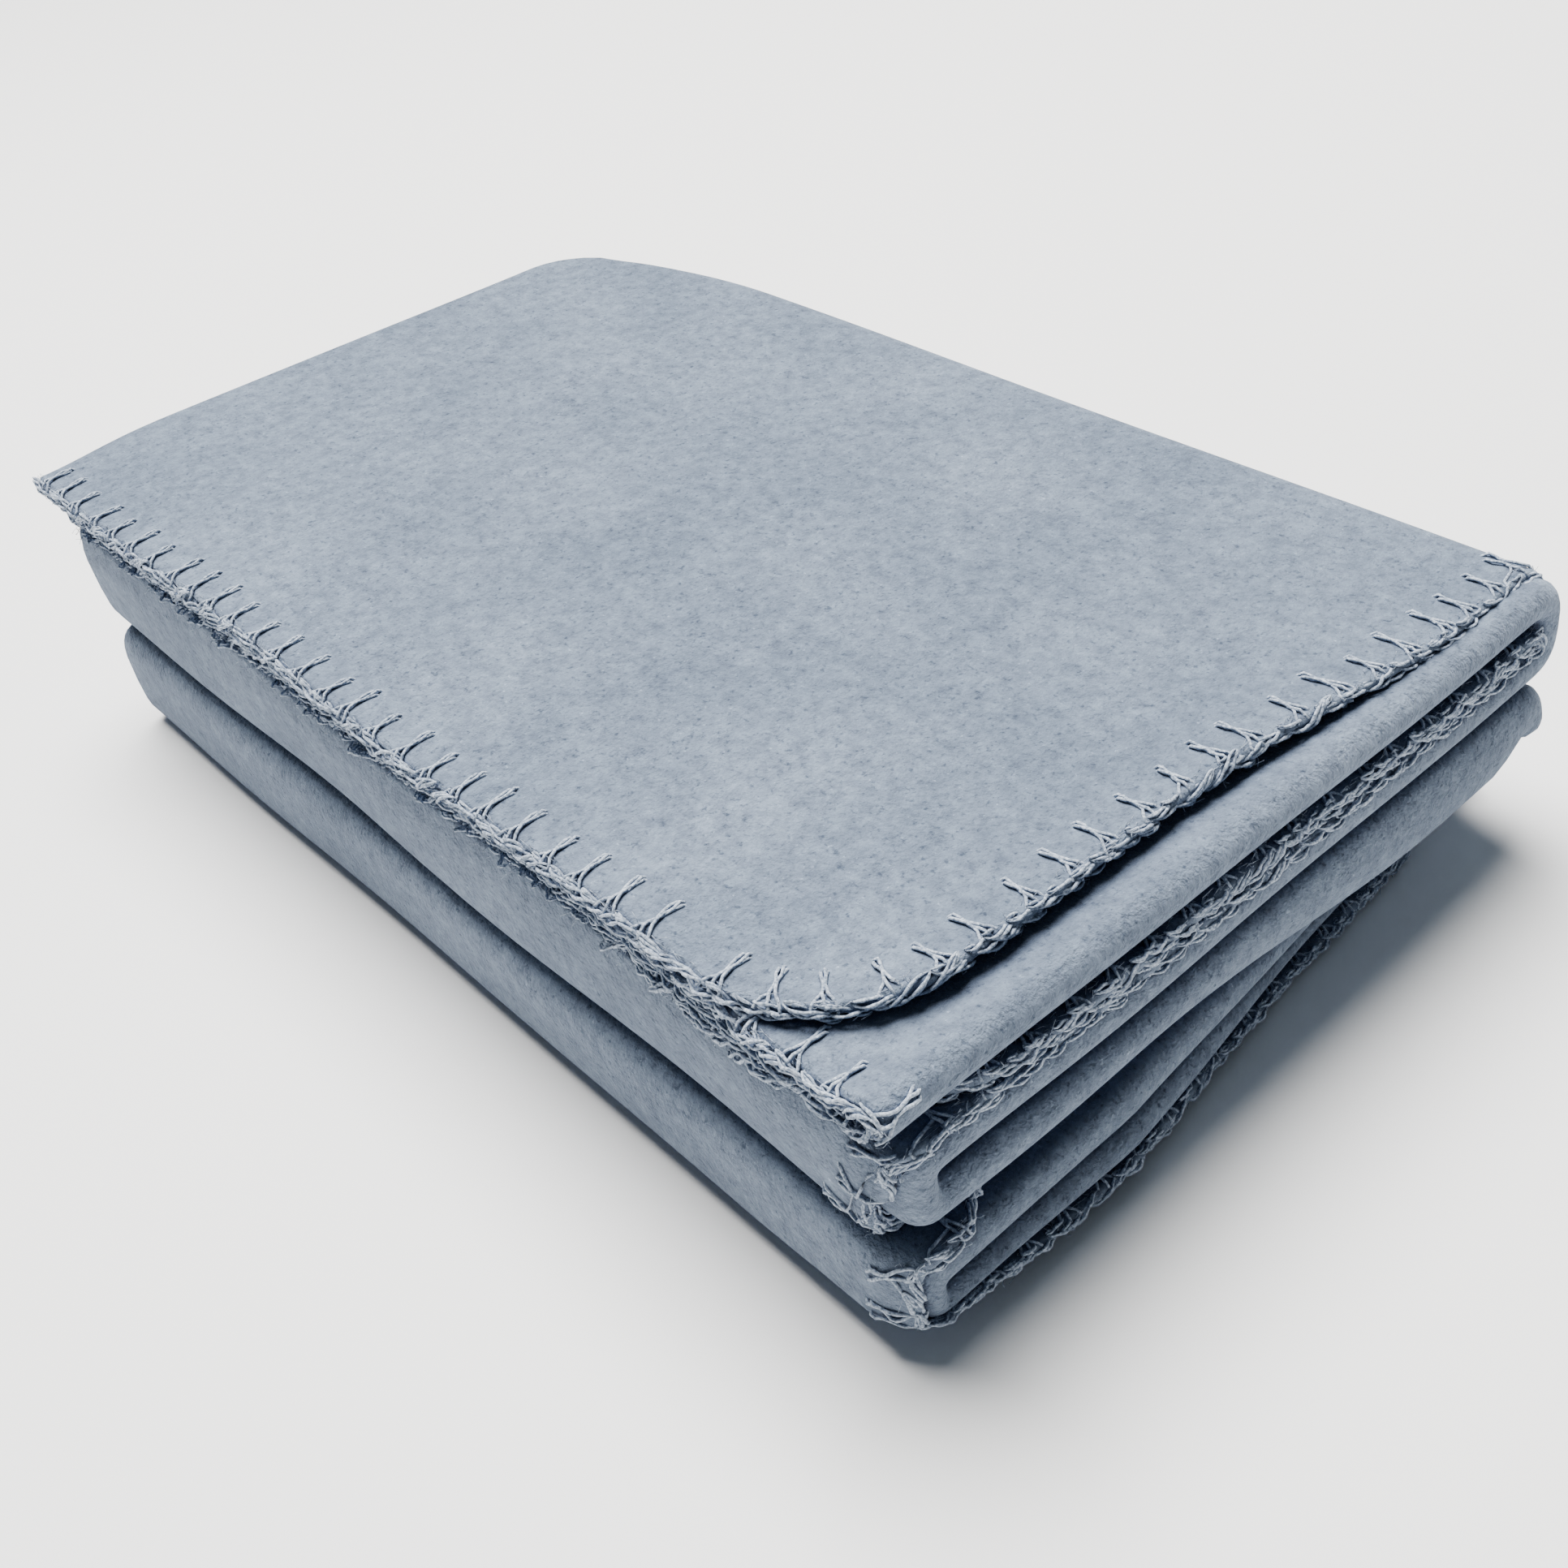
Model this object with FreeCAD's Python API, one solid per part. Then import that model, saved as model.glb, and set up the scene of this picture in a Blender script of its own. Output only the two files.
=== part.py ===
"""Folded throw blanket: one fleece sheet, folded in four along its length and then in five
across its width, with a blanket-stitched hem of thick yarn all the way round.

Frame: +Z up, origin at the centre of the underside. +X points at the short end where the hems
and one fold show, -Y at the long side with the two smooth rolls. Millimetres.

The folded sheet is five strips, one above the other, joined by soft turns at alternate long
sides. Each strip is four plies deep: the first and last plies end in a hem at +X, the two
middle plies meet there in a fold, and both pairs meet in folds at -X.
"""
import FreeCAD, Part
import math
import os

Vector = FreeCAD.Vector

# Driving dimensions
folded_length = 400.0        # along X, from the folds at one end to the fold at the other
folded_width = 254.0         # along Y, over the rolls at both long sides
ply_thickness = 3.7          # one layer of fleece with its pile
ply_slit = 0.5               # space between the plies of one strip
strip_clearance = 0.4        # what is left between a strip and the stitches of one laid on it
first_hem_setback = 14.0     # how far the first ply's hem lies inside the +X fold
last_hem_setback = 4.0       # the same for the last ply
long_hem_setback = 2.0       # how far the long hem lies inside the roll below it
hem_depth = 2.6              # how far the chain of yarn stands out from the fleece edge
corner_radius = 46.0         # plan radius of the sheet's rounded corners, measured on the fleece
stitch_pitch = 13.0          # from one blanket stitch to the next
stitch_length = 9.0          # how far a stitch reaches in from the fleece edge
stitch_width = 2.2           # two or three strands side by side
stitch_height = 0.8          # how far a stitch stands above the fleece
corner_stitches = 5          # stitches fanned round a rounded corner
strip_count = 5
ply_count = 4

# Derived sizes
ply_pitch = ply_thickness + ply_slit
strip_height = ply_count * ply_thickness + (ply_count - 1) * ply_slit
strip_gap = stitch_height + strip_clearance
strip_pitch = strip_height + strip_gap
turn_radius = strip_height + strip_gap / 2
back_fold_x = -folded_length / 2
front_fold_x = folded_length / 2
front_side_y = -folded_width / 2
back_side_y = folded_width / 2
first_end_x = front_fold_x - first_hem_setback - hem_depth
last_end_x = front_fold_x - last_hem_setback - hem_depth
fold_outer = ply_thickness + ply_slit / 2
fold_inner = ply_slit / 2
FIRST, LAST = 0, ply_count - 1


def strip_bottom(strip):
    """Height of the underside of a strip. Strip 1 is on top."""
    return (strip_count - strip) * strip_pitch


def ply_bottom(strip, ply):
    """Height of the underside of a ply. Every second strip lies the other way up."""
    level = ply if strip % 2 == 0 else ply_count - 1 - ply
    return strip_bottom(strip) + level * ply_pitch


def end_x(ply):
    return first_end_x if ply == FIRST else last_end_x


def line(start, stop):
    return Part.LineSegment(start, stop).toShape()


def half_turn(start, stop, bulge):
    """A half circle in an XZ plane from start to stop, through the point bulge away along X."""
    middle = (start + stop) / 2 + Vector(bulge, 0, 0)
    return Part.Arc(start, middle, stop).toShape()


def zigzag_face(strip, y, shorten=0.0):
    """The strip's four plies and three folds as one face in the XZ plane at y.
    shorten pulls back the two free ends, to leave room for a rounded corner."""
    bottom = [strip_bottom(strip) + level * ply_pitch for level in range(ply_count)]
    top = [height + ply_thickness for height in bottom]
    odd = strip % 2 == 1
    low_x = (last_end_x if odd else first_end_x) - shorten
    high_x = (first_end_x if odd else last_end_x) - shorten
    back = back_fold_x + fold_outer
    front = front_fold_x - fold_outer

    def point(x, z):
        return Vector(x, y, z)

    edges = [
        line(point(low_x, bottom[0]), point(back, bottom[0])),
        half_turn(point(back, bottom[0]), point(back, top[1]), -fold_outer),
        line(point(back, top[1]), point(front, top[1])),
        half_turn(point(front, top[1]), point(front, bottom[2]), fold_inner),
        line(point(front, bottom[2]), point(back, bottom[2])),
        half_turn(point(back, bottom[2]), point(back, top[3]), -fold_outer),
        line(point(back, top[3]), point(high_x, top[3])),
        line(point(high_x, top[3]), point(high_x, bottom[3])),
        line(point(high_x, bottom[3]), point(back, bottom[3])),
        half_turn(point(back, bottom[3]), point(back, top[2]), -fold_inner),
        line(point(back, top[2]), point(front, top[2])),
        half_turn(point(front, top[2]), point(front, bottom[1]), fold_outer),
        line(point(front, bottom[1]), point(back, bottom[1])),
        half_turn(point(back, bottom[1]), point(back, top[0]), -fold_inner),
        line(point(back, top[0]), point(low_x, top[0])),
        line(point(low_x, top[0]), point(low_x, bottom[0])),
    ]
    return Part.Face(Part.Wire(edges))


def hem_face(strip, ply, y):
    """Section of the yarn chain along the free end of one ply."""
    low = ply_bottom(strip, ply)
    x = end_x(ply)
    corners = [Vector(x, y, low), Vector(x + hem_depth, y, low),
               Vector(x + hem_depth, y, low + ply_thickness), Vector(x, y, low + ply_thickness)]
    return Part.Face(Part.makePolygon(corners + corners[:1]))


def turns_of(strip):
    """The soft turns a strip takes part in, as (side, height of the middle of the turn).
    side is -1 at the long side with the rolls and +1 at the other."""
    turns = []
    for upper in (strip - 1, strip):
        if 1 <= upper < strip_count:
            side = 1 if upper % 2 == 1 else -1
            turns.append((side, strip_bottom(upper) - strip_gap / 2))
    return turns


def straight_span(strip):
    """Y range of the straight part of a strip: up to a turn's centre line or a hem."""
    low = front_side_y + long_hem_setback + hem_depth
    high = back_side_y - long_hem_setback - hem_depth
    for side, _height in turns_of(strip):
        if side < 0:
            low = front_side_y + turn_radius
        else:
            high = back_side_y - turn_radius
    return low, high


def layer_slab(strip):
    """All the room a strip may fill, so that no two strips ever share a height."""
    length = folded_length * 2
    width = folded_width * 2
    return Part.makeBox(length, width, strip_height, Vector(-length / 2, -width / 2, strip_bottom(strip)))


def sweep_strip(strip, face_at, low, high):
    """Run a section along the straight part of a strip, and a quarter round into each turn."""
    body = face_at(low).extrude(Vector(0, high - low, 0))
    for side, height in turns_of(strip):
        y = high if side > 0 else low
        above = strip_bottom(strip) > height
        angle = 90.0 if (side < 0) == above else -90.0
        turned = face_at(y).revolve(Vector(0, y, height), Vector(1, 0, 0), angle)
        body = body.fuse(turned.common(layer_slab(strip)))
    return body.removeSplitter()


def free_long_side(strip):
    """-1 or +1 for the strip whose long hem is free on that side, else 0."""
    return {1: -1, strip_count: 1 if strip_count % 2 == 1 else -1}.get(strip, 0)


def corner_centre(strip, ply):
    """Plan centre of the rounded corner of a free ply."""
    side = free_long_side(strip)
    low, high = straight_span(strip)
    edge = low if side < 0 else high
    return end_x(ply) - corner_radius, edge - side * corner_radius


def corner_block(strip, ply, radius):
    """The square of a ply outside its rounded corner, as deep as the ply."""
    side = free_long_side(strip)
    x, y = corner_centre(strip, ply)
    low_y = y if side > 0 else y - corner_radius
    height = ply_bottom(strip, ply)
    block = Part.makeBox(corner_radius, corner_radius, ply_thickness, Vector(x, low_y, height))
    return block.cut(Part.makeCylinder(radius, ply_thickness, Vector(x, y, height)))


def corner_hem(strip, ply):
    """Quarter ring of yarn round the rounded corner of a free ply."""
    side = free_long_side(strip)
    x, y = corner_centre(strip, ply)
    height = ply_bottom(strip, ply)
    outer = corner_radius + hem_depth
    start = Vector(x, y, height)
    ring = Part.makeCylinder(outer, ply_thickness, start).cut(
        Part.makeCylinder(corner_radius, ply_thickness, start))
    low_y = y if side > 0 else y - outer
    return ring.common(Part.makeBox(outer, outer, ply_thickness, Vector(x, low_y, height)))


def fleece(strip):
    low, high = straight_span(strip)
    body = sweep_strip(strip, lambda y: zigzag_face(strip, y), low, high)
    if free_long_side(strip):
        for ply in (FIRST, LAST):
            body = body.cut(corner_block(strip, ply, corner_radius))
    return body


def end_hem(strip, ply):
    """Yarn chain along the short end of one ply, round the strip's turns."""
    low, high = straight_span(strip)
    side = free_long_side(strip)
    if side < 0:
        low += corner_radius
    if side > 0:
        high -= corner_radius
    return sweep_strip(strip, lambda y: hem_face(strip, ply, y), low, high)


def long_hem(strip):
    """Yarn chain along a free long side: it follows the four plies and their folds, turns the
    two rounded corners and runs on along both short ends, all in one piece."""
    side = free_long_side(strip)
    low, high = straight_span(strip)
    edge = low if side < 0 else high
    chain = zigzag_face(strip, edge, corner_radius).extrude(Vector(0, side * hem_depth, 0))
    for ply in (FIRST, LAST):
        chain = chain.fuse(corner_hem(strip, ply)).fuse(end_hem(strip, ply))
    return chain.removeSplitter()


def stitch_bar(x, y, angle):
    """One stitch on the top ply: it starts on the chain's outer rim and points inwards.
    angle is the direction of the rim's outward normal in degrees, measured from +X."""
    top = ply_bottom(1, FIRST) + ply_thickness
    reach = stitch_length + hem_depth
    bar = Part.makeBox(reach, stitch_width, stitch_height, Vector(-stitch_length, -stitch_width / 2, 0))
    bar.rotate(Vector(0, 0, 0), Vector(0, 0, 1), angle)
    bar.translate(Vector(x, y, top))
    return bar


def top_stitches():
    """Stitches along the long hem, round the rounded corner and along the short hem of the
    top ply, the only ones that lie in the open."""
    centre_x, centre_y = corner_centre(1, FIRST)
    low, high = straight_span(1)
    bars = []
    along_length = int((centre_x - back_fold_x - fold_outer) // stitch_pitch)
    for index in range(1, along_length):
        bars.append(stitch_bar(centre_x - index * stitch_pitch, low, -90.0))
    for index in range(corner_stitches + 1):
        angle = -90.0 + 90.0 * index / corner_stitches
        turn = math.radians(angle)
        bars.append(stitch_bar(centre_x + corner_radius * math.cos(turn),
                               centre_y + corner_radius * math.sin(turn), angle))
    along_width = int((high - centre_y) // stitch_pitch)
    for index in range(1, along_width):
        bars.append(stitch_bar(first_end_x, centre_y + index * stitch_pitch, 0.0))
    return bars


def export(shape, name):
    shape.exportStep("parts/%s.step" % name)
    print("%-22s solids %d  valid %s  volume %.0f" % (name, len(shape.Solids), shape.isValid(), shape.Volume))


def build():
    os.makedirs("parts", exist_ok=True)
    for strip in range(1, strip_count + 1):
        export(fleece(strip), "fleece_strip_%d" % strip)
        if free_long_side(strip):
            hem = long_hem(strip)
            if strip == 1:
                hem = hem.multiFuse(top_stitches())
            export(hem, "hem_strip_%d" % strip)
        else:
            export(end_hem(strip, FIRST), "first_hem_strip_%d" % strip)
            export(end_hem(strip, LAST), "last_hem_strip_%d" % strip)


build()
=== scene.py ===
"""Folded fleece throw: the cloth, its blanket-stitched hem, materials, floor, light and camera.

The blanket is one sheet. A point on it is given by s, the way along its length from the first
short hem through four plies, and v, the way along its width from the first long hem through
five strips and the four soft turns between them. Everything is in metres in the CAD frame.
"""
import math

import bpy
import numpy as np
from mathutils import Matrix, Vector


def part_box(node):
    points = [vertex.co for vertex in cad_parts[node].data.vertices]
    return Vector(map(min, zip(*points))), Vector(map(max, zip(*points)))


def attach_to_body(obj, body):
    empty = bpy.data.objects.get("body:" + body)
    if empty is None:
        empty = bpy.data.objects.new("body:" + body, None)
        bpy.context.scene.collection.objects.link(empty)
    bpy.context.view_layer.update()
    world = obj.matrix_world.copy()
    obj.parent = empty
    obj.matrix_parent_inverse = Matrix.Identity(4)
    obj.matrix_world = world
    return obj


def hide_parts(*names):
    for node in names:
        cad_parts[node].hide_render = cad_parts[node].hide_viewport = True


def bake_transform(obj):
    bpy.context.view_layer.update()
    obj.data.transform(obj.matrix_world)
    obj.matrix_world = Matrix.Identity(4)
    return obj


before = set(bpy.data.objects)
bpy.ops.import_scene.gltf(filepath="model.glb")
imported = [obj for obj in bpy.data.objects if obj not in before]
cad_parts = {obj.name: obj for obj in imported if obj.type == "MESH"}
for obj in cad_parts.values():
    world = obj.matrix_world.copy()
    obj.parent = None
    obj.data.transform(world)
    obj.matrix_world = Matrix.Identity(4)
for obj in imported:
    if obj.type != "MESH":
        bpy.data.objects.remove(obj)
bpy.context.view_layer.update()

MM = 0.001

# Sizes that follow the frame
STRIPS = 5
PLIES = 4
strip_box = {strip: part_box("fleece_strip_%d" % strip) for strip in range(1, STRIPS + 1)}
half_length = strip_box[2][1][0]
half_width = strip_box[2][1][1]
strip_pitch = strip_box[4][0][2] - strip_box[5][0][2]
strip_height = strip_box[5][1][2] - strip_box[5][0][2]
pile_height = strip_box[1][1][2]
front_hem_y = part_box("hem_strip_1")[0][1]
back_hem_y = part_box("hem_strip_5")[1][1]

# Thickness, spacing and turns of the regular pile
ply_pitch = strip_pitch / PLIES
cloth_half = 1.7 * MM            # half the thickness of one ply
ply_rise = [(1.5 - ply) * ply_pitch for ply in range(PLIES)]
turn_middle = strip_pitch / 2    # radius of the middle of a strip in a turn
turn_y = half_width - (strip_height + (strip_pitch - strip_height) / 2)
turn_zone = 0.45 * MM            # half the height of the band in which a turn bends when it opens
zone_share = 0.3                 # share of a turn's length that lies in that band
zone_rows = 8                    # rows of the mesh in the band, and on each side of it
inner_ply = 2.2 * MM             # a ply inside this radius spreads evenly over the band
rim_share = 0.9                  # how far the plies outside it keep to the band's two rims instead
least_radius = 0.6 * MM          # the innermost ply's cloth never turns tighter than this
roll_power = {1: 0.62, -1: 0.46}  # below 1, a roll is fuller than a half circle; by side

# Profile of the four plies and three folds: x, and n above the middle of the strip
back_radius = ply_pitch / 2
back_x = -half_length + back_radius + cloth_half
nose_radius = 3.7 * MM
nose_x = half_length - nose_radius - cloth_half
nose_rise = ply_rise[2] + nose_radius
nose_ramp = 11 * MM              # the second ply climbs into the fat fold over this length
past_hem = 8 * MM                # the profile runs on this far past the last hem's side of the pile
profile_step = 2 * MM


def smooth(t):
    t = np.clip(t, 0, 1)
    return t * t * (3 - 2 * t)


def profile_table():
    """Centre line of the plies as (x, n) points, from past the first hem to past the last."""
    def half_circle(x, low, high, way, start_high, count=10):
        middle, radius = (low + high) / 2, (high - low) / 2
        turn = np.linspace(0, math.pi, count + 1)[1:-1]
        rise = np.cos(turn) if start_high else -np.cos(turn)
        return np.stack([x + way * radius * np.sin(turn), middle + radius * rise], 1)

    def run(start, stop, rise):
        count = int(abs(stop - start) / profile_step)
        x = np.linspace(start, stop, count)
        return np.stack([x, np.full(count, rise)], 1)

    second = run(back_x, nose_x, ply_rise[1])
    climb = smooth((second[:, 0] - (nose_x - nose_ramp)) / nose_ramp)
    second[:, 1] += climb * (nose_rise + nose_radius - ply_rise[1])
    return np.concatenate([
        run(half_length, back_x, ply_rise[0]),
        half_circle(back_x, ply_rise[1], ply_rise[0], -1, True),
        second,
        half_circle(nose_x, ply_rise[2], nose_rise + nose_radius, 1, True),
        run(nose_x, back_x, ply_rise[2]),
        half_circle(back_x, ply_rise[3], ply_rise[2], -1, True),
        run(back_x, half_length + past_hem, ply_rise[3])])


profile_points = profile_table()
profile_s = np.concatenate([[0], np.cumsum(np.linalg.norm(np.diff(profile_points, axis=0), axis=1))])
profile_tangent = np.gradient(profile_points, profile_s, axis=0)
profile_tangent /= np.linalg.norm(profile_tangent, axis=1)[:, None]

first_setback = 18 * MM          # how far the first hem lies inside the +X fold
last_setback = 1 * MM            # the same for the last hem
profile_end = profile_s[-1] - past_hem

# Path across the strips: strip, turn, strip, turn ...
turn_length = math.pi * turn_middle
section_start = [0.0]
for strip in range(1, STRIPS + 1):
    inner = 2 * turn_y
    if strip == 1:
        inner = turn_y - front_hem_y
    if strip == STRIPS:
        inner = turn_y + back_hem_y
    section_start.append(section_start[-1] + inner)
    if strip < STRIPS:
        section_start.append(section_start[-1] + turn_length)
path_end = section_start[-1]
sections = 2 * STRIPS - 1


def interface_height(strip):
    """Height of the plane between a strip and the one under it, in the regular pile."""
    return (STRIPS - strip) * strip_pitch - (strip_pitch - strip_height) / 2


def follow_path(v, n):
    """Regular (y, z) of a point v along the path and n above the strip's middle."""
    y = np.zeros_like(v)
    z = np.zeros_like(v)
    for section in range(sections):
        begin, stop = section_start[section], section_start[section + 1]
        inside = (v >= begin) & (v < stop)
        if section == 0:
            inside |= v < begin
        if section == sections - 1:
            inside |= v >= stop
        strip = section // 2 + 1
        odd = strip % 2 == 1
        if section % 2 == 0:
            start_y = front_hem_y if strip == 1 else (-turn_y if odd else turn_y)
            way = 1 if odd else -1
            middle = interface_height(strip) + strip_pitch / 2
            y = np.where(inside, start_y + way * (v - begin), y)
            z = np.where(inside, middle + way * n, z)
            continue
        side = 1 if odd else -1
        radius = np.maximum(turn_middle + side * n, least_radius)
        power = roll_power[side]
        share = 2 * (v - begin) / turn_length - 1
        into_zone = np.clip(np.abs(share) / zone_share, 0, 1)
        outer = np.clip((radius - inner_ply) / inner_ply, 0, 1)
        in_zone = (into_zone + rim_share * outer * (1 - into_zone)) * turn_zone / radius
        zone_angle = np.arcsin(np.minimum(turn_zone / radius, 0.95) ** (1 / power))
        outside = zone_angle + (math.pi / 2 - zone_angle) * (np.abs(share) - zone_share) / (1 - zone_share)
        angle = np.where(np.abs(share) <= zone_share,
                         np.arcsin(np.clip(in_zone, 0, 1) ** (1 / power)), outside)
        out = np.clip(np.cos(angle), 0, 1) ** power
        down = np.clip(np.sin(angle), 0, 1) ** power
        y = np.where(inside, side * (turn_y + radius * out), y)
        z = np.where(inside, interface_height(strip) - np.sign(share) * radius * down, z)
    return y, z


# How the real pile departs from the regular one. A level is a height as a share of the pile's.
height_front = 87 * MM           # height of the pile at its +X -Y corner
height_left = 93.5 * MM          # at -X -Y
height_back = 85.5 * MM          # at -X +Y
height_right = 80.5 * MM         # at +X +Y
back_corner_round = (88 * MM, 46 * MM)   # how far along X and along Y the -X +Y corner is rounded
front_corner_round = (15 * MM, 15 * MM)  # the same at +X -Y, for the strips under the top one
top_ripple = 1.3 * MM            # height of the slow waves in the plies
end_ripple = 1.6 * MM            # how far the +X end's hems and folds wander in and out
side_wander = 1.5 * MM           # how far the long sides do
fan_in = 22 * MM                 # the two lower strips lie this much further in at the +X +Y corner
fan_level = 0.44                 # they lie below this level
roll_in = 2.5 * MM               # the upper front roll lies this much behind the lower one
front_inset = 2.2 * MM           # the rolls at -Y lie this far inside the regular pile
top_shift = 10 * MM              # the -X end leans: the top strip out by this much
low_shift = 12 * MM              # and the lowest in by this much
front_lift = 12 * MM             # the lowest corner curls up at +X -Y
cover = 5 * MM                   # the first ply's long hem hangs out past the plies below it
hem_droop = 3 * MM               # and down
fold_sag = 10 * MM               # the middle strip's fold swells down over the strips further in
fold_out = 4 * MM                # and out
top_lift = 3 * MM                # the top ply's short hem lifts off the ply below it
least_height = 0.8 * MM          # below this the cloth flattens against the floor
top_level = 0.8                  # underside of the top strip
lower_level = 0.4                # top of the two lower strips
turn_fade = 30 * MM              # ripples and sags fade out over this width next to a long side
roll_reach = 40 * MM             # the rolls at -Y keep to their own places over this width

wave_rng = np.random.default_rng(7)
wave_rows = [(wave_rng.uniform(-1, 1, 3), wave_rng.uniform(0, 2 * math.pi)) for _ in range(18)]


def waves(points, first, count, length):
    """Smooth random field from -1 to 1 with features about length long."""
    total = 0
    for direction, phase in wave_rows[first:first + count]:
        direction = direction / np.linalg.norm(direction[:2])
        total = total + np.sin(points @ (direction * 2 * math.pi / length) + phase)
    return total / count


def pile_top(x, y):
    """Height of the top of the pile over a place in plan: linear between the four corners."""
    along = (x + half_length) / (2 * half_length)
    across = (y + half_width) / (2 * half_width)
    return ((1 - across) * ((1 - along) * height_left + along * height_front)
            + across * ((1 - along) * height_back + along * height_right))


def rounding(x, y, reach):
    """How far to move points inwards in x and y, to round the pile's corner at +x +y in plan."""
    a = np.clip((x - (half_length - reach[0])) / reach[0], 0, 1.05)
    b = np.clip((y - (half_width - reach[1])) / reach[1], 0, 1.05)
    return a * (1 - np.sqrt(1 - b * b / 2)) * reach[0], b * (1 - np.sqrt(1 - a * a / 2)) * reach[1]


def settle(points):
    """Move points of the regular pile to where the soft pile lies."""
    x, y, z = points[:, 0], points[:, 1], points[:, 2]
    level = z / pile_height
    along = (x + half_length) / (2 * half_length)
    across = (y + half_width) / (2 * half_width)
    near_rolls = smooth((-y - turn_y) / roll_reach + 1)

    # heights: slow ripples in the plies, the raised front corner, and rolls level with their hinges
    away_from_turns = smooth((turn_y - np.abs(y)) / turn_fade)
    free_front = smooth((level - 0.82) / 0.1) * smooth((-y - turn_y + turn_fade) / turn_fade)
    ripple = top_ripple * waves(points * [1, 1, 0.3], 0, 6, 0.13) * np.maximum(away_from_turns, free_front)
    new_z = level * (pile_top(x, y) + ripple)
    front_corner = smooth((x - 0.14) / 0.06) * smooth((-y - 0.075) / 0.05)
    new_z = new_z + 0.5 * front_lift * (front_corner * smooth((0.17 - level) / 0.12)
                                        + along * (1 - across) * np.clip(1 - level / 0.25, 0, 1))
    strips_up = (z + (strip_pitch - strip_height) / 2) / strip_pitch
    at_hinge = np.clip(1 - np.abs(strips_up - 1), 0, 1) + np.clip(1 - np.abs(strips_up - 3), 0, 1)
    new_z = new_z + near_rolls * at_hinge * (z - new_z)

    # along X: the lower strips fan in at +X, its folds and hems wander, and the -X end leans
    near_end = smooth((x + 0.02) / half_length)
    fan = fan_in * smooth((fan_level - level) / 0.07) * np.clip((across - 0.3) / 0.7, 0, 1.1)
    lean = np.interp(level, [0, lower_level, top_level, 1], [low_shift, low_shift * 0.6, 0, -top_shift])
    new_x = x - near_end * fan + near_end * end_ripple * waves(points * [0.2, 1, 1.6], 6, 6, 0.11) \
        + lean * (1 - smooth((x + half_length) / (0.8 * half_length)))

    # along Y: the long sides wander and the rolls at -Y lie a little further in
    upper_roll = smooth((level - lower_level) / 0.05) * smooth((top_level - level) / 0.05)
    wander = side_wander * waves(points * [1, 0.2, 2.2], 12, 6, 0.15)
    new_y = y + near_rolls * upper_roll * roll_in + smooth(y / half_width) * wander \
        + smooth(-y / half_width) * (wander + front_inset)

    # the middle strip's fold sags at +X +Y
    sagging = np.interp(level, [0.1, fan_level, 0.56], [0, 1, 0]) * smooth((across - 0.3) / 0.5) \
        * smooth((half_width - y) / turn_fade) * smooth((x - 0.13) / 0.06)
    new_z = new_z - fold_sag * sagging
    new_x = new_x + fold_out * sagging

    # the top strip's long hem droops, its first ply over the others
    hem_side = smooth((-y - 0.065) / 0.06) * smooth((level - 0.79) / 0.03)
    under_first = smooth((0.955 - level) / 0.03)
    new_y = new_y + hem_side * under_first * cover * smooth((0.17 - x) / 0.1)
    new_z = new_z - hem_side ** 2 * hem_droop * smooth((0.13 - x) / 0.1)

    # two corners are round in plan, and the cloth lies flat on the floor
    inward_x, inward_y = rounding(-new_x, new_y, back_corner_round)
    new_x, new_y = new_x + inward_x, new_y - inward_y
    under_top = smooth((top_level - level) / 0.05)
    inward_x, inward_y = rounding(new_x, -new_y, front_corner_round)
    new_x, new_y = new_x - under_top * inward_x, new_y + under_top * inward_y
    new_z = np.where(new_z < least_height, least_height * np.exp(new_z / least_height - 1), new_z)
    return np.stack([new_x, new_y, new_z], 1)


def sheet_point(s, v, c):
    """Place of the sheet's point (s, v), lifted c from its middle towards its outer face."""
    s, v, c = np.broadcast_arrays(s, v, c)
    shape = s.shape
    s, v, c = s.ravel(), v.ravel(), c.ravel()
    x = np.interp(s, profile_s, profile_points[:, 0])
    n = np.interp(s, profile_s, profile_points[:, 1])
    tangent_x = np.interp(s, profile_s, profile_tangent[:, 0])
    tangent_n = np.interp(s, profile_s, profile_tangent[:, 1])
    x = x + tangent_n * c
    n = n - tangent_x * c
    y, z = follow_path(v, n)
    settled = settle(np.stack([x, y, z], 1))
    top_ply = smooth((half_length * 2 + 0.01 - s) / 0.02) * smooth((section_start[1] - v) / 0.1)
    near_hem = smooth((0.045 - s) / 0.04)
    settled[:, 2] += top_ply * top_lift * near_hem
    return settled.reshape(shape + (3,))


# Outline of the sheet
corner_radius = 40 * MM
hem_wander = 1.2 * MM            # how far a short hem wanders in and out
first_hem_step = 9 * MM          # the first hem lies this much further out at the +Y side of strip 1
                                 # and this much deeper in all the strips under it
last_hem_step = 11 * MM          # the last hem lies this much deeper in strips 3 and 4


def corner_cut(v):
    """How far a rounded corner takes the short hems in at v."""
    near = np.minimum(v, path_end - v)
    reach = np.clip(corner_radius - near, 0, corner_radius)
    return corner_radius - np.sqrt(np.maximum(corner_radius ** 2 - reach ** 2, 0))


def hem_wave(v, which):
    """Slow wander of a short hem, in or out."""
    row = np.stack([v, np.full_like(v, which * 0.37), np.zeros_like(v)], -1)
    return hem_wander * waves(row.reshape(-1, 3), 3 + which, 5, 0.16).reshape(v.shape)


def first_hem(v):
    """Where along s the sheet begins at v."""
    shallower = first_hem_step * smooth((v - 0.1) / 0.12) * smooth((section_start[2] + 0.01 - v) / 0.02)
    deeper = first_hem_step * smooth((v - section_start[2]) / 0.03)
    return first_setback + deeper - shallower + hem_wave(v, 0) + corner_cut(v)


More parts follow.
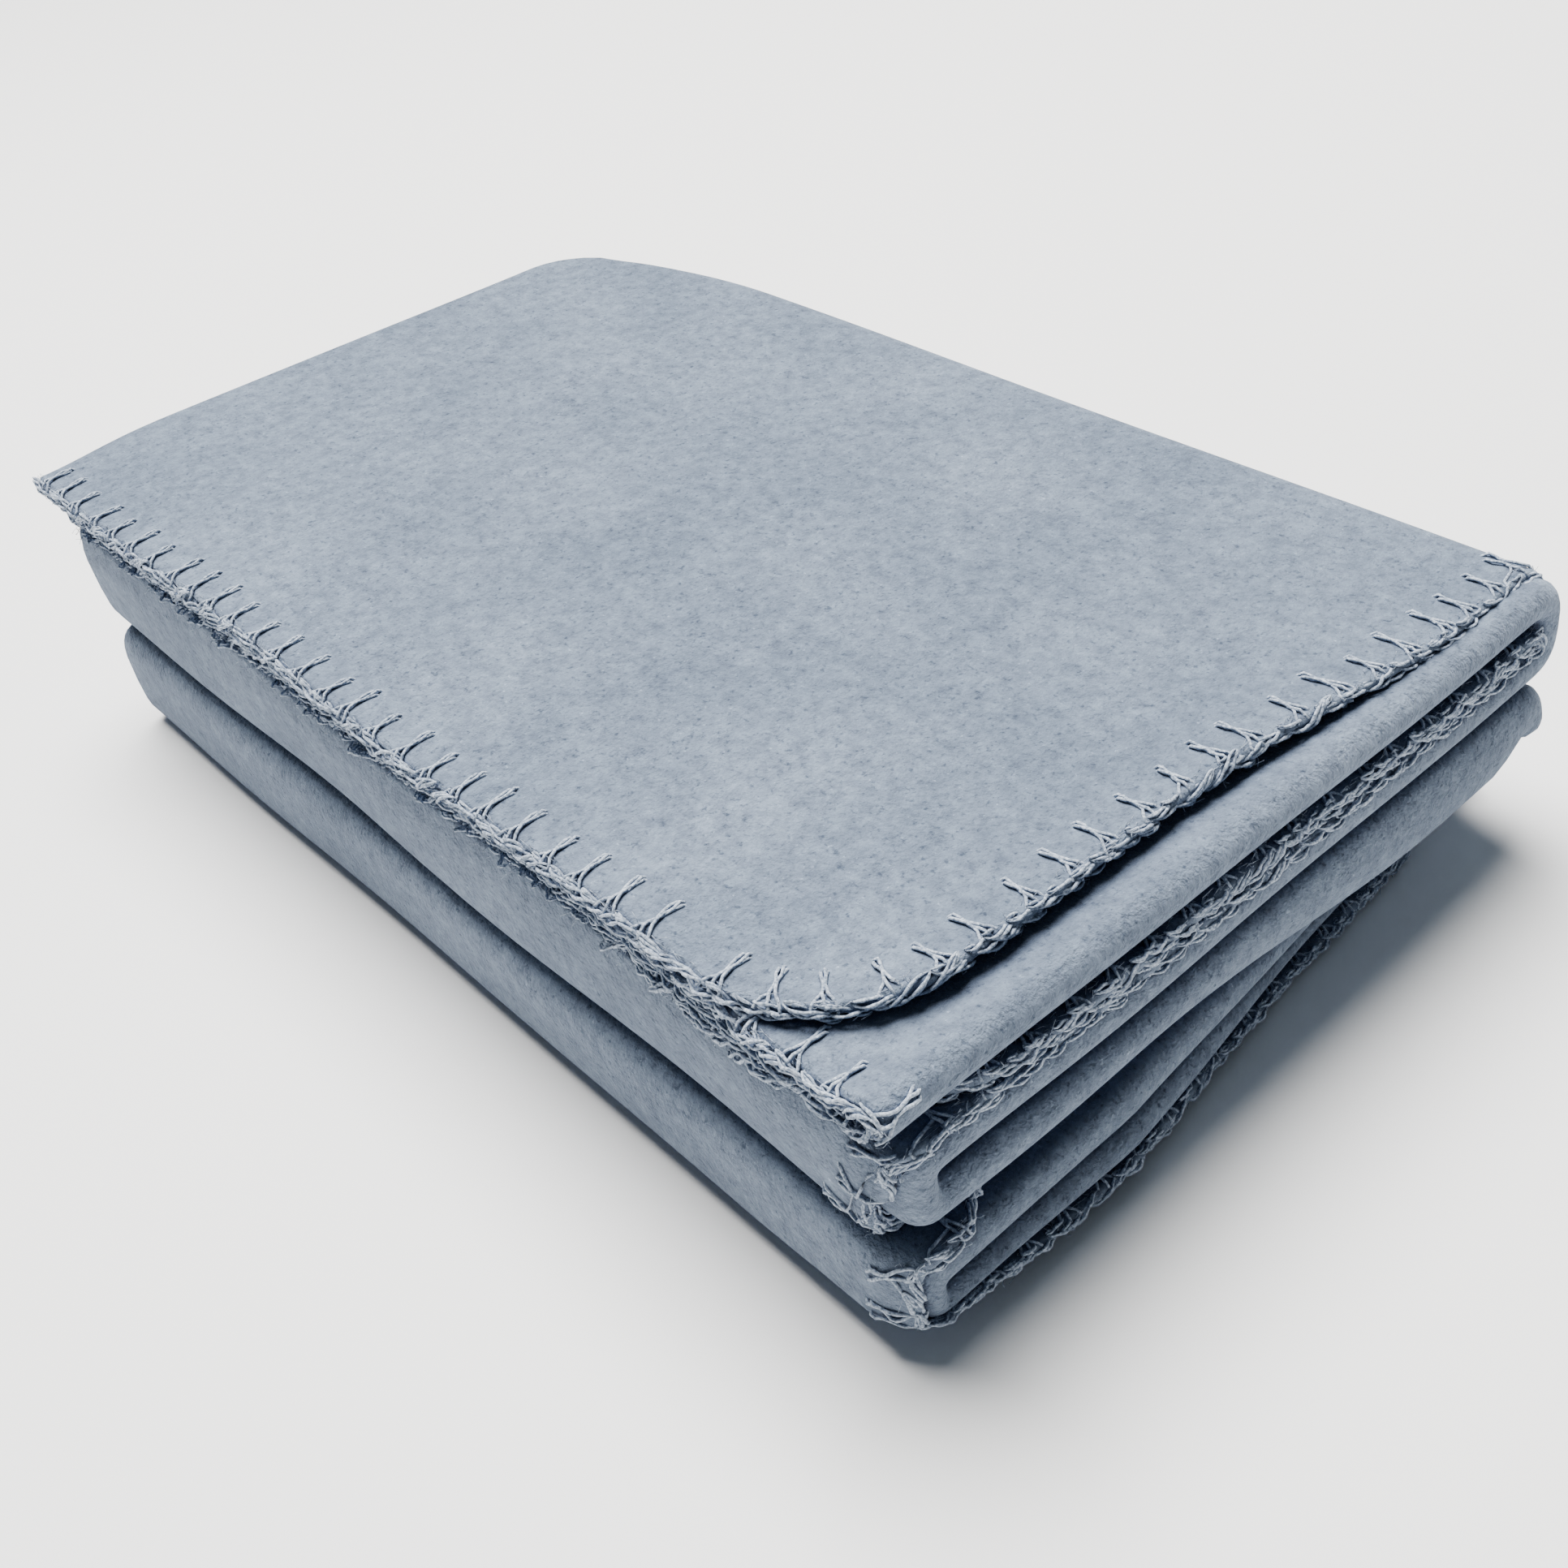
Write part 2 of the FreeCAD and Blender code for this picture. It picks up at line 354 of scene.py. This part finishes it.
def last_hem(v):
    """Where along s the sheet ends at v."""
    lower = smooth((v - section_start[3]) / 0.02) * smooth((section_start[7] - v) / 0.02)
    return profile_end - last_setback - last_hem_step * lower - hem_wave(v, 1) - corner_cut(v)


# The cloth mesh
row_step = 6 * MM                # between rows and columns where the cloth is flat
rim_step = 2.5 * MM              # between rows near a rounded corner
hem_angles = np.radians([8, 30, 55, 75, 90])   # round the cloth's rim at a long hem
cap_angles = np.radians([30, 60, 90, 120, 150])  # and at a short hem
bend_step = math.radians(16)     # how far a fold may turn between two columns


def section_rows(section):
    """Rows of v over one section, closer together at a hem and in a turn."""
    begin, stop = section_start[section], section_start[section + 1]
    if section % 2 == 1:
        zone = np.linspace((1 - zone_share) / 2, (1 + zone_share) / 2, zone_rows)
        side = np.linspace(0, zone[0], zone_rows + 1)[:-1]
        share = np.concatenate([side, zone, 1 - side[::-1]])
        return begin + share * (stop - begin)
    rows = [np.array([begin, stop])]
    low, high = begin, stop
    rim = cloth_half * (1 - np.cos(hem_angles))
    if section == 0:
        low = begin + corner_radius
        rows += [begin + rim, np.arange(begin + rim[-1] + MM, low, rim_step)]
    if section == sections - 1:
        high = stop - corner_radius
        rows += [stop - rim, np.arange(high, stop - rim[-1] - MM, rim_step)]
    rows.append(np.linspace(low, high, int((high - low) / row_step) + 1))
    rows = np.unique(np.concatenate(rows))
    keep = np.concatenate([[True], np.diff(rows) > 0.02 * MM])
    if section == 0:
        keep &= rows >= begin + rim[0]
    if section == sections - 1:
        keep &= rows <= stop - rim[0]
    return rows[keep]


def column_count():
    """How many columns the mesh needs up to each point of the profile: more in the folds."""
    heading = np.unwrap(np.arctan2(profile_tangent[:, 1], profile_tangent[:, 0]))
    bend = np.abs(np.gradient(heading, profile_s))
    columns = np.diff(profile_s) * (1 / row_step + bend[1:] / bend_step)
    return np.concatenate([[0], np.cumsum(columns)])


def cloth_columns(rows):
    """For every row, s and c round the cloth's closed section: along its outer face from the first
    hem to the last, round that hem and back. Also the number of columns on one face."""
    cost = column_count()
    ends = first_hem(rows), last_hem(rows)
    first_fold = half_length - back_x
    last_fold = profile_end - first_fold
    inner_cost = np.interp([first_fold, last_fold], profile_s, cost)
    inner = np.interp(np.linspace(*inner_cost, int(inner_cost[1] - inner_cost[0])), cost, profile_s)
    share = np.linspace(0, 1, int((first_fold - first_setback) / row_step) + 1)[:-1]
    first_ply = ends[0][:, None] + share * (first_fold - ends[0][:, None])
    last_ply = last_fold + (1 - share[::-1]) * (ends[1][:, None] - last_fold)
    along = np.concatenate([first_ply, np.tile(inner, (len(rows), 1)), last_ply], 1)
    rim = np.minimum(rows - section_start[0], path_end - rows)
    thick = cloth_half * np.sqrt(np.clip(1 - np.clip((cloth_half - rim) / cloth_half, 0, 1) ** 2, 0.02, 1))
    thick = np.where(rim >= cloth_half, cloth_half, thick)[:, None]
    last_cap = along[:, -1:] + thick * np.sin(cap_angles)
    first_cap = along[:, :1] - thick * np.sin(cap_angles)
    s = np.concatenate([along, last_cap, along[:, ::-1], first_cap], 1)
    face = np.ones_like(along) * thick
    cap = thick * np.cos(cap_angles)
    c = np.concatenate([face, cap, -face, -cap], 1)
    return s, c, along.shape[1]


def grid_normals(grid):
    """Vertex normals of a grid of rows whose columns close into a loop."""
    across = np.roll(grid, -1, 1) - np.roll(grid, 1, 1)
    down = np.empty_like(grid)
    down[1:-1] = grid[2:] - grid[:-2]
    down[0] = grid[1] - grid[0]
    down[-1] = grid[-1] - grid[-2]
    normals = np.cross(across, down)
    return normals / np.maximum(np.linalg.norm(normals, axis=2, keepdims=True), 1e-12)


def new_object(name, vertices, faces, material, normals=None):
    mesh = bpy.data.meshes.new(name)
    mesh.from_pydata(vertices.tolist(), [], faces)
    mesh.shade_smooth()
    if normals is not None:
        mesh.normals_split_custom_set_from_vertices(normals.tolist())
    mesh.materials.append(material)
    piece = bpy.data.objects.new(name, mesh)
    bpy.context.collection.objects.link(piece)
    return piece


def grid_faces(rows, columns):
    faces = []
    for row in range(rows - 1):
        for column in range(columns):
            beside = (column + 1) % columns
            faces.append((row * columns + column, row * columns + beside,
                          (row + 1) * columns + beside, (row + 1) * columns + column))
    return faces


def rim_faces(row, columns, side_columns, flip):
    """Close a piece where it ends across the strips, from the cloth's outer to its inner face."""
    first = row * columns
    cap = (columns - 2 * side_columns) // 2
    faces = []
    for column in range(side_columns - 1):
        across = columns - 1 - cap - column
        faces.append((first + column, first + column + 1, first + across - 1, first + across))
    faces.append(tuple(first + side_columns - 1 + i for i in range(cap + 2)))
    faces.append(tuple([first] + [first + columns - 1 - i for i in range(cap + 1)]))
    return [face[::-1] if flip else face for face in faces]


def make_cloth(material):
    """One closed piece of fleece for each strip and each turn, meeting row to row."""
    rows = [section_rows(section) for section in range(sections)]
    all_rows = np.concatenate([rows[0]] + [row[1:] for row in rows[1:]])
    s, c, side_columns = cloth_columns(all_rows)
    grid = sheet_point(s, all_rows[:, None], c)
    normals = grid_normals(grid)
    columns = grid.shape[1]
    pieces = []
    begin = 0
    for section in range(sections):
        count = len(rows[section])
        part = slice(begin, begin + count)
        faces = grid_faces(count, columns)
        faces += rim_faces(0, columns, side_columns, True)
        faces += rim_faces(count - 1, columns, side_columns, False)
        pieces.append(new_object(section_name("fleece", section), grid[part].reshape(-1, 3), faces,
                                 material, normals[part].reshape(-1, 3)))
        begin += count - 1
    return pieces


def section_name(kind, section):
    strip = section // 2 + 1
    return "%s_cloth_%d" % (kind, strip) if section % 2 == 0 else "%s_turn_%d_%d" % (kind, strip, strip + 1)


# The hem's yarn
yarn_step = 1.0 * MM             # between the points of the outline
stitch_pitch = 13 * MM
stitch_length = 12 * MM
chain_pitch = stitch_pitch / 2   # from one bundle of the chain to the next
chain_strands = 5
chain_radius = 0.44 * MM         # one strand of the chain
chain_spread = 0.75 * MM         # how far a strand winds about the middle of its bundle
chain_turns = 0.35               # how far it winds from one bundle to the next
chain_slant = 2.4 * MM           # how far a bundle comes down from one bundle to the next
place_jitter = 0.8 * MM          # how uneven the places of the bundles are
stitch_jitter = 0.7 * MM         # and those of the stitches
thread_radius = 0.45 * MM        # one strand of a stitch
thread_rise = 0.55 * MM          # how far the middle of a strand lies above the cloth
foot_spread = 1.5 * MM           # how far the outer strands of a stitch part at the rim
fibre_count = 9000               # loose ends standing off the yarn
fibre_radius = 0.07 * MM
fibre_rise = 1.6 * MM            # height above the middle of the cloth at which the fibres begin


def rim_line():
    """The sheet's outline as s, v and the outward direction in s and v."""
    s_low, s_high = first_hem(np.array([corner_radius]))[0], last_hem(np.array([corner_radius]))[0]
    parts = []
    angles = np.arange(0, math.pi / 2, yarn_step / corner_radius)

    def corner(angle, hem, v_side, s_way):
        v = corner_radius * (1 - np.cos(angle))
        v = v if v_side == 0 else path_end - v
        s = hem(v)
        way = -1 if v_side == 0 else 1
        parts.append(np.stack([s, v, s_way * np.sin(angle), way * np.cos(angle)], 1))

    def short_side(hem, s_way, backwards):
        v = np.arange(corner_radius, path_end - corner_radius, yarn_step)
        v = v[::-1] if backwards else v
        parts.append(np.stack([hem(v), v, np.full_like(v, s_way), np.zeros_like(v)], 1))

    def long_side(v_side, backwards):
        s = np.arange(s_low + corner_radius, s_high - corner_radius, yarn_step)
        s = s[::-1] if backwards else s
        way = -1 if v_side == 0 else 1
        v = np.full_like(s, 0 if v_side == 0 else path_end)
        parts.append(np.stack([s, v, np.zeros_like(s), np.full_like(s, way)], 1))

    corner(angles, first_hem, 0, -1)
    short_side(first_hem, -1, False)
    corner(angles[::-1], first_hem, 1, -1)
    long_side(1, False)
    corner(angles, last_hem, 1, 1)
    short_side(last_hem, 1, True)
    corner(angles[::-1], last_hem, 0, 1)
    long_side(0, True)
    return np.concatenate(parts)


class Yarn:
    """Tubes gathered into one mesh for each section of the blanket."""

    def __init__(self):
        self.vertices = [[] for _ in range(sections)]
        self.faces = [[] for _ in range(sections)]
        self.counts = [0] * sections

    def add(self, points, v, radius, sides):
        """Add one tube along the points, closed where it ends or passes into the next section."""
        tangent = np.gradient(points, axis=0)
        tangent /= np.maximum(np.linalg.norm(tangent, axis=1)[:, None], 1e-9)
        side = np.cross(tangent, [0.31, 0.17, 0.93])
        side /= np.maximum(np.linalg.norm(side, axis=1)[:, None], 1e-9)
        up = np.cross(side, tangent)
        turn = np.linspace(0, 2 * math.pi, sides, endpoint=False)
        radius = np.broadcast_to(radius, len(points))[:, None, None]
        rings = points[:, None] + radius * (side[:, None] * np.cos(turn)[None, :, None]
                                            + up[:, None] * np.sin(turn)[None, :, None])
        owner = np.clip(np.searchsorted(section_start, v, side="right") - 1, 0, sections - 1)
        edges = np.flatnonzero(np.diff(owner)) + 1
        starts = np.concatenate([[0], edges])
        stops = np.concatenate([edges, [len(points) - 1]])
        for start, stop in zip(starts, stops):
            if stop <= start:
                continue
            section = owner[start]
            base = self.counts[section]
            part = rings[start:stop + 1]
            self.vertices[section].append(part.reshape(-1, 3))
            ring = np.arange(sides)
            beside = (ring + 1) % sides
            row = np.arange(stop - start)[:, None] * sides + base
            faces = np.stack([row + ring, row + beside, row + sides + beside, row + sides + ring], -1)
            self.faces[section] += faces.reshape(-1, 4).tolist()
            last = base + (stop - start) * sides
            self.faces[section].append([base + i for i in range(sides)][::-1])
            self.faces[section].append([last + i for i in range(sides)])
            self.counts[section] += part.shape[0] * sides

    def make(self, material):
        return [new_object(section_name("yarn", section), np.concatenate(self.vertices[section]),
                           self.faces[section], material) for section in range(sections)]


def add_threads(yarn, rim_places, inward, aside, lift, radius, sides):
    """Add one short thread for each place on the rim, from its own distances inward, along the rim
    and above the cloth."""
    at_s, at_v, way_s, way_v = [column[:, None] for column in rim_places]
    points = sheet_point(at_s - inward * way_s - aside * way_v, at_v - inward * way_v + aside * way_s, lift)
    for thread, v in zip(points, at_v[:, 0]):
        yarn.add(thread, np.full(len(thread), v), radius, sides)


def add_links(yarn, rim, length, rng):
    """Add the chain: short loose bundles of strands, each slanting along the rim across the edge of
    the cloth and running on beside the next one. A few slant the other way."""
    place = np.arange(int(length[-1] / chain_pitch)) * chain_pitch
    one_each = (len(place), 1)
    share = np.linspace(-0.3, 1.45, 14)
    reach = np.sin(math.pi * np.linspace(0, 1, len(share))) ** 0.6
    at = place[:, None] + share * chain_pitch + rng.normal(0, place_jitter, one_each)
    s, v, out_s, out_v = [np.interp(at, length, column, period=length[-1]) for column in rim.T]
    slant = chain_slant * rng.uniform(0.5, 1.3, one_each) * rng.choice((-1, 1), one_each, p=(0.22, 0.78))
    for strand in range(chain_strands):
        start = 2 * math.pi * strand / chain_strands + rng.normal(0, 0.7, one_each)
        angle = start + chain_turns * 2 * math.pi * share * rng.uniform(0.4, 1.5, one_each)
        spread = chain_spread * (0.3 + reach) * rng.uniform(0.5, 1.5, one_each)
        crimp = 0.12 * MM * np.sin(11 * share + rng.uniform(0, 6, one_each))
        out = 0.5 * MM + 0.8 * MM * reach + spread * np.cos(angle) + crimp
        lift = (0.5 - share) * slant + 1.25 * spread * np.sin(angle) + crimp
        radius = chain_radius * (0.5 + 0.5 * reach) * (1 + 0.2 * np.sin(12 * share + strand))
        points = sheet_point(s + out * out_s, v + out * out_v, lift)
        for link, link_v in zip(points, v):
            yarn.add(link, link_v, radius, 5)


def add_stitches(yarn, rim, length, rng):
    """Add the stitches: three strands from the rim over each face of the cloth, which part at the
    rim and sink into the pile at the other end."""
    place = (np.arange(int(length[-1] / stitch_pitch)) + 0.5) * stitch_pitch
    place = place + rng.normal(0, stitch_jitter, len(place))
    rim_places = [np.interp(place, length, column) for column in rim.T]
    slant = rng.normal(0, 0.8 * MM, len(place))
    reach = stitch_length * rng.uniform(0.85, 1.12, len(place))
    share = np.array([-0.14, -0.04, 0.06, 0.18, 0.32, 0.5, 0.68, 0.84, 0.95, 1.02])
    for face in (1, -1):
        for strand in (-1, 0, 1):
            shorter = 1 - 0.12 * abs(strand) * rng.uniform(0, 1, len(place))
            inward = share * (reach * shorter)[:, None]
            spread = strand * (0.5 * MM + foot_spread * np.clip(1 - share / 0.26, 0, 1.3) ** 1.5)
            aside = spread + 0.35 * MM * np.sin(share * 7 + 2.1 * strand) + slant[:, None] * share \
                + rng.normal(0, 0.1 * MM, inward.shape)
            lift = face * (cloth_half + thread_rise + 0.3 * MM * np.cos(share * 7 + 2.1 * strand)
                           - np.clip(share - 0.84, 0, 1) * 11 * MM - np.clip(0.05 - share, 0, 1) * 9 * MM)
            add_threads(yarn, rim_places, inward, aside, lift, thread_radius, 5)


def add_fibres(yarn, rim, rng):
    """Add the loose fibres that stand off the chain, three points each."""
    chosen = rng.integers(2, len(rim) - 2, fibre_count)
    away = np.array([0, 0.5, 0.8])
    bend = rng.normal(0, 1, (2, fibre_count, 3)) * MM * [0.2, 0.7, 1.3]
    start = rng.uniform(-1.5, 1.6, (fibre_count, 1)) * MM
    inward = -start - away * rng.uniform(-1.6, 2.2, (fibre_count, 1)) * MM
    aside = rng.uniform(-3, 3, (fibre_count, 1)) * away * MM + bend[0]
    face = rng.choice((-1, 1), (fibre_count, 1))
    lift = face * (fibre_rise + away * rng.uniform(0.6, 1.8, (fibre_count, 1)) * MM) + 0.5 * bend[1]
    add_threads(yarn, rim[chosen].T, inward, aside, lift, fibre_radius, 3)


def make_yarn(material):
    """The hem's yarn, one piece for each strip and each turn."""
    rng = np.random.default_rng(11)
    rim = rim_line()
    line = sheet_point(rim[:, 0], rim[:, 1], 0.0)
    length = np.concatenate([[0], np.cumsum(np.linalg.norm(np.diff(line, axis=0), axis=1))])
    yarn = Yarn()
    add_links(yarn, rim, length, rng)
    add_stitches(yarn, rim, length, rng)
    add_fibres(yarn, rim, rng)
    return yarn.make(material)


# Materials
def node_material(name):
    material = bpy.data.materials.new(name)
    material.use_nodes = True
    nodes = material.node_tree.nodes
    shader = nodes["Principled BSDF"]
    return material, nodes, material.node_tree.links, shader


def add_noise(nodes, links, scale, detail, roughness=0.6):
    """Value of a noise texture, from 0 to 1."""
    place = nodes.new("ShaderNodeTexCoord")
    noise = nodes.new("ShaderNodeTexNoise")
    noise.inputs["Scale"].default_value = scale
    noise.inputs["Detail"].default_value = detail
    noise.inputs["Roughness"].default_value = roughness
    links.new(place.outputs["Object"], noise.inputs["Vector"])
    return noise.outputs[0]


def ramp(nodes, links, value, low, high, low_at=0.35, high_at=0.65):
    """Colour that goes from low to high as the value goes from low_at to high_at."""
    node = nodes.new("ShaderNodeValToRGB")
    node.color_ramp.elements[0].position = low_at
    node.color_ramp.elements[0].color = (*low, 1)
    node.color_ramp.elements[1].position = high_at
    node.color_ramp.elements[1].color = (*high, 1)
    links.new(value, node.inputs["Fac"])
    return node.outputs["Color"]


def multiply(nodes, links, first, second):
    node = nodes.new("ShaderNodeMix")
    node.data_type = "RGBA"
    node.blend_type = "MULTIPLY"
    node.inputs["Factor"].default_value = 1.0
    links.new(first, node.inputs["A"])
    links.new(second, node.inputs["B"])
    return node.outputs["Result"]


def painted_crevice_shade(nodes, links, deepest_shade):
    """Painted shade: a deeper blue where the pile closes in on itself, between plies and under a hem, taken
    from ambient occlusion.
    """
    openness = nodes.new("ShaderNodeAmbientOcclusion")
    openness.samples = 8
    openness.inputs["Distance"].default_value = 0.02
    return ramp(nodes, links, openness.outputs["AO"], deepest_shade, (1, 1, 1), 0.12, 0.8)


def add_bump(nodes, links, value, strength, depth):
    node = nodes.new("ShaderNodeBump")
    node.inputs["Strength"].default_value = strength
    node.inputs["Distance"].default_value = depth
    links.new(value, node.inputs["Height"])
    return node


def set_surface(shader, roughness, specular, sheen, sheen_roughness, sheen_tint):
    shader.inputs["Roughness"].default_value = roughness
    shader.inputs["Specular IOR Level"].default_value = specular
    shader.inputs["Sheen Weight"].default_value = sheen
    shader.inputs["Sheen Roughness"].default_value = sheen_roughness
    shader.inputs["Sheen Tint"].default_value = (*sheen_tint, 1)


def fleece_material():
    material, nodes, links, shader = node_material("brushed_fleece")
    cloudy = ramp(nodes, links, add_noise(nodes, links, 16, 4),
                  (0.135, 0.171, 0.23), (0.184, 0.227, 0.296))
    mottle = ramp(nodes, links, add_noise(nodes, links, 210, 5, 0.75),
                  (0.6, 0.61, 0.65), (1.36, 1.36, 1.33), 0.3, 0.7)
    specks = ramp(nodes, links, add_noise(nodes, links, 620, 3, 0.6),
                  (0.42, 0.45, 0.5), (1, 1, 1), 0.29, 0.43)
    flecks = ramp(nodes, links, add_noise(nodes, links, 800, 2, 0.5),
                  (1, 1, 1), (1.7, 1.65, 1.6), 0.68, 0.76)
    colour = cloudy
    # the last layer is painted shade: the fleece darkens towards navy where plies and hems close in
    for layer in (mottle, specks, flecks, painted_crevice_shade(nodes, links, (0.14, 0.2, 0.37))):
        colour = multiply(nodes, links, colour, layer)
    links.new(colour, shader.inputs["Base Color"])
    nap = add_bump(nodes, links, add_noise(nodes, links, 750, 3, 0.65), 0.75, 1.4 * MM)
    tufts = add_bump(nodes, links, add_noise(nodes, links, 120, 3, 0.6), 0.35, 3 * MM)
    links.new(tufts.outputs["Normal"], nap.inputs["Normal"])
    links.new(nap.outputs["Normal"], shader.inputs["Normal"])
    set_surface(shader, 0.95, 0.15, 0.35, 0.45, (0.75, 0.85, 1.0))
    return material


def yarn_material():
    material, nodes, links, shader = node_material("hem_yarn")
    fibre = ramp(nodes, links, add_noise(nodes, links, 1400, 3, 0.6),
                 (0.17, 0.215, 0.29), (0.62, 0.69, 0.78))
    patch = ramp(nodes, links, add_noise(nodes, links, 160, 2), (0.85, 0.87, 0.9), (1.1, 1.1, 1.1))
    colour = multiply(nodes, links, fibre, patch)
    # painted shade: the yarn darkens where it lies in crevices
    colour = multiply(nodes, links, colour, painted_crevice_shade(nodes, links, (0.3, 0.37, 0.52)))
    links.new(colour, shader.inputs["Base Color"])
    twist = add_bump(nodes, links, add_noise(nodes, links, 1100, 3, 0.7), 0.8, 0.7 * MM)
    links.new(twist.outputs["Normal"], shader.inputs["Normal"])
    set_surface(shader, 0.85, 0.25, 0.4, 0.4, (0.85, 0.92, 1.0))
    return material


# Riding and replacing
def turn_plane(strip):
    """Start and end of the band in which the turn between a strip and the next one bends."""
    side = 1 if strip % 2 == 1 else -1
    height = interface_height(strip)
    ends = settle(np.array([[-half_length, side * half_width, height],
                            [half_length, side * half_width, height],
                            [0, side * turn_y, height]]))
    across = np.cross(ends[1] - ends[0], ends[2] - ends[0])
    across *= math.copysign(1, across[2]) / np.linalg.norm(across)
    middle = ends.mean(0)
    return middle + across * turn_zone, middle - across * turn_zone


def attach(cloths, yarns):
    """Each strip's pieces ride its body; each turn's pieces stay where they are in the world."""
    for section in range(sections):
        strip = section // 2 + 1
        cloth, yarn = cloths[section], yarns[section]
        if section % 2 == 0:
            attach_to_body(cloth, "strip_%d" % strip)
            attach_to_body(yarn, "strip_%d" % strip)
            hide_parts("fleece_strip_%d" % strip)
            if strip in (1, STRIPS):
                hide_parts("hem_strip_%d" % strip)
            else:
                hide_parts("first_hem_strip_%d" % strip, "last_hem_strip_%d" % strip)
        else:
            start, end = turn_plane(strip)
            for piece in (cloth, yarn):
                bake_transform(piece)


attach(make_cloth(fleece_material()), make_yarn(yarn_material()))


# Floor, light and camera
floor_reach = 8.0
floor_height = -0.5 * MM
light_place = Vector((-0.5, 0.22, 1.35))
light_target = Vector((0, 0, 0.05))
light_colour = (1, 0.985, 0.96)


def make_floor():
    mesh = bpy.data.meshes.new("floor")
    corners = ((-1, -1), (1, -1), (1, 1), (-1, 1))
    mesh.from_pydata([(x * floor_reach, y * floor_reach, 0) for x, y in corners], [], [(0, 1, 2, 3)])
    material, nodes, links, shader = node_material("pale_floor")
    shader.inputs["Base Color"].default_value = (0.95, 0.95, 0.95, 1)
    shader.inputs["Roughness"].default_value = 0.9
    mesh.materials.append(material)
    floor = bpy.data.objects.new("floor", mesh)
    floor.location.z = floor_height
    bpy.context.collection.objects.link(floor)


def add_light(data, place, direction):
    data.color = light_colour
    light = bpy.data.objects.new(data.name, data)
    light.rotation_euler = direction.to_track_quat("-Z", "Y").to_euler()
    light.location = place
    bpy.context.collection.objects.link(light)


def add_sun():
    """A broad soft light that is even over the whole floor."""
    data = bpy.data.lights.new("sky_light", "SUN")
    data.angle = math.radians(40)
    data.energy = 8.4
    add_light(data, (0, 0, 0), -light_place)


def add_key():
    """A smaller light from the same side, for a little more shape in the folds."""
    data = bpy.data.lights.new("key", "AREA")
    data.size = 1.1
    data.energy = 24
    add_light(data, light_place, light_target - light_place)


def make_light():
    """A dim blue sky that the camera sees as a pale backdrop, and two lights from high on the left."""
    world = bpy.data.worlds.new("studio")
    bpy.context.scene.world = world
    world.use_nodes = True
    nodes, links = world.node_tree.nodes, world.node_tree.links
    background = nodes["Background"]
    background.inputs["Color"].default_value = (0.72, 0.86, 1.0, 1)
    background.inputs["Strength"].default_value = 0.14
    backdrop = nodes.new("ShaderNodeBackground")
    backdrop.inputs["Strength"].default_value = 2.6
    seen = nodes.new("ShaderNodeLightPath")
    either = nodes.new("ShaderNodeMixShader")
    links.new(seen.outputs["Is Camera Ray"], either.inputs["Fac"])
    links.new(background.outputs["Background"], either.inputs[1])
    links.new(backdrop.outputs["Background"], either.inputs[2])
    links.new(either.outputs["Shader"], nodes["World Output"].inputs["Surface"])
    add_sun()
    add_key()


camera_place = (0.3796, -0.2622, 0.3513)
camera_yaw = math.radians(-54.28)    # from +Y, clockwise seen from above
camera_pitch = math.radians(38.48)   # how far it looks down
camera_roll = math.radians(-9.62)
camera_lens = 41.05
sensor_width = 36


def make_camera():
    forward = np.array([math.sin(camera_yaw) * math.cos(camera_pitch),
                        math.cos(camera_yaw) * math.cos(camera_pitch), -math.sin(camera_pitch)])
    right = np.array([math.cos(camera_yaw), -math.sin(camera_yaw), 0])
    up = np.cross(right, forward)
    rolled_right = math.cos(camera_roll) * right + math.sin(camera_roll) * up
    rolled_up = math.cos(camera_roll) * up - math.sin(camera_roll) * right
    matrix = Matrix.Identity(4)
    for row in range(3):
        matrix[row][0] = rolled_right[row]
        matrix[row][1] = rolled_up[row]
        matrix[row][2] = -forward[row]
        matrix[row][3] = camera_place[row]
    data = bpy.data.cameras.new("camera")
    data.lens = camera_lens
    data.sensor_width = sensor_width
    data.clip_start = 0.01
    camera = bpy.data.objects.new("camera", data)
    camera.matrix_world = matrix
    bpy.context.collection.objects.link(camera)
    bpy.context.scene.camera = camera


make_floor()
make_light()
make_camera()
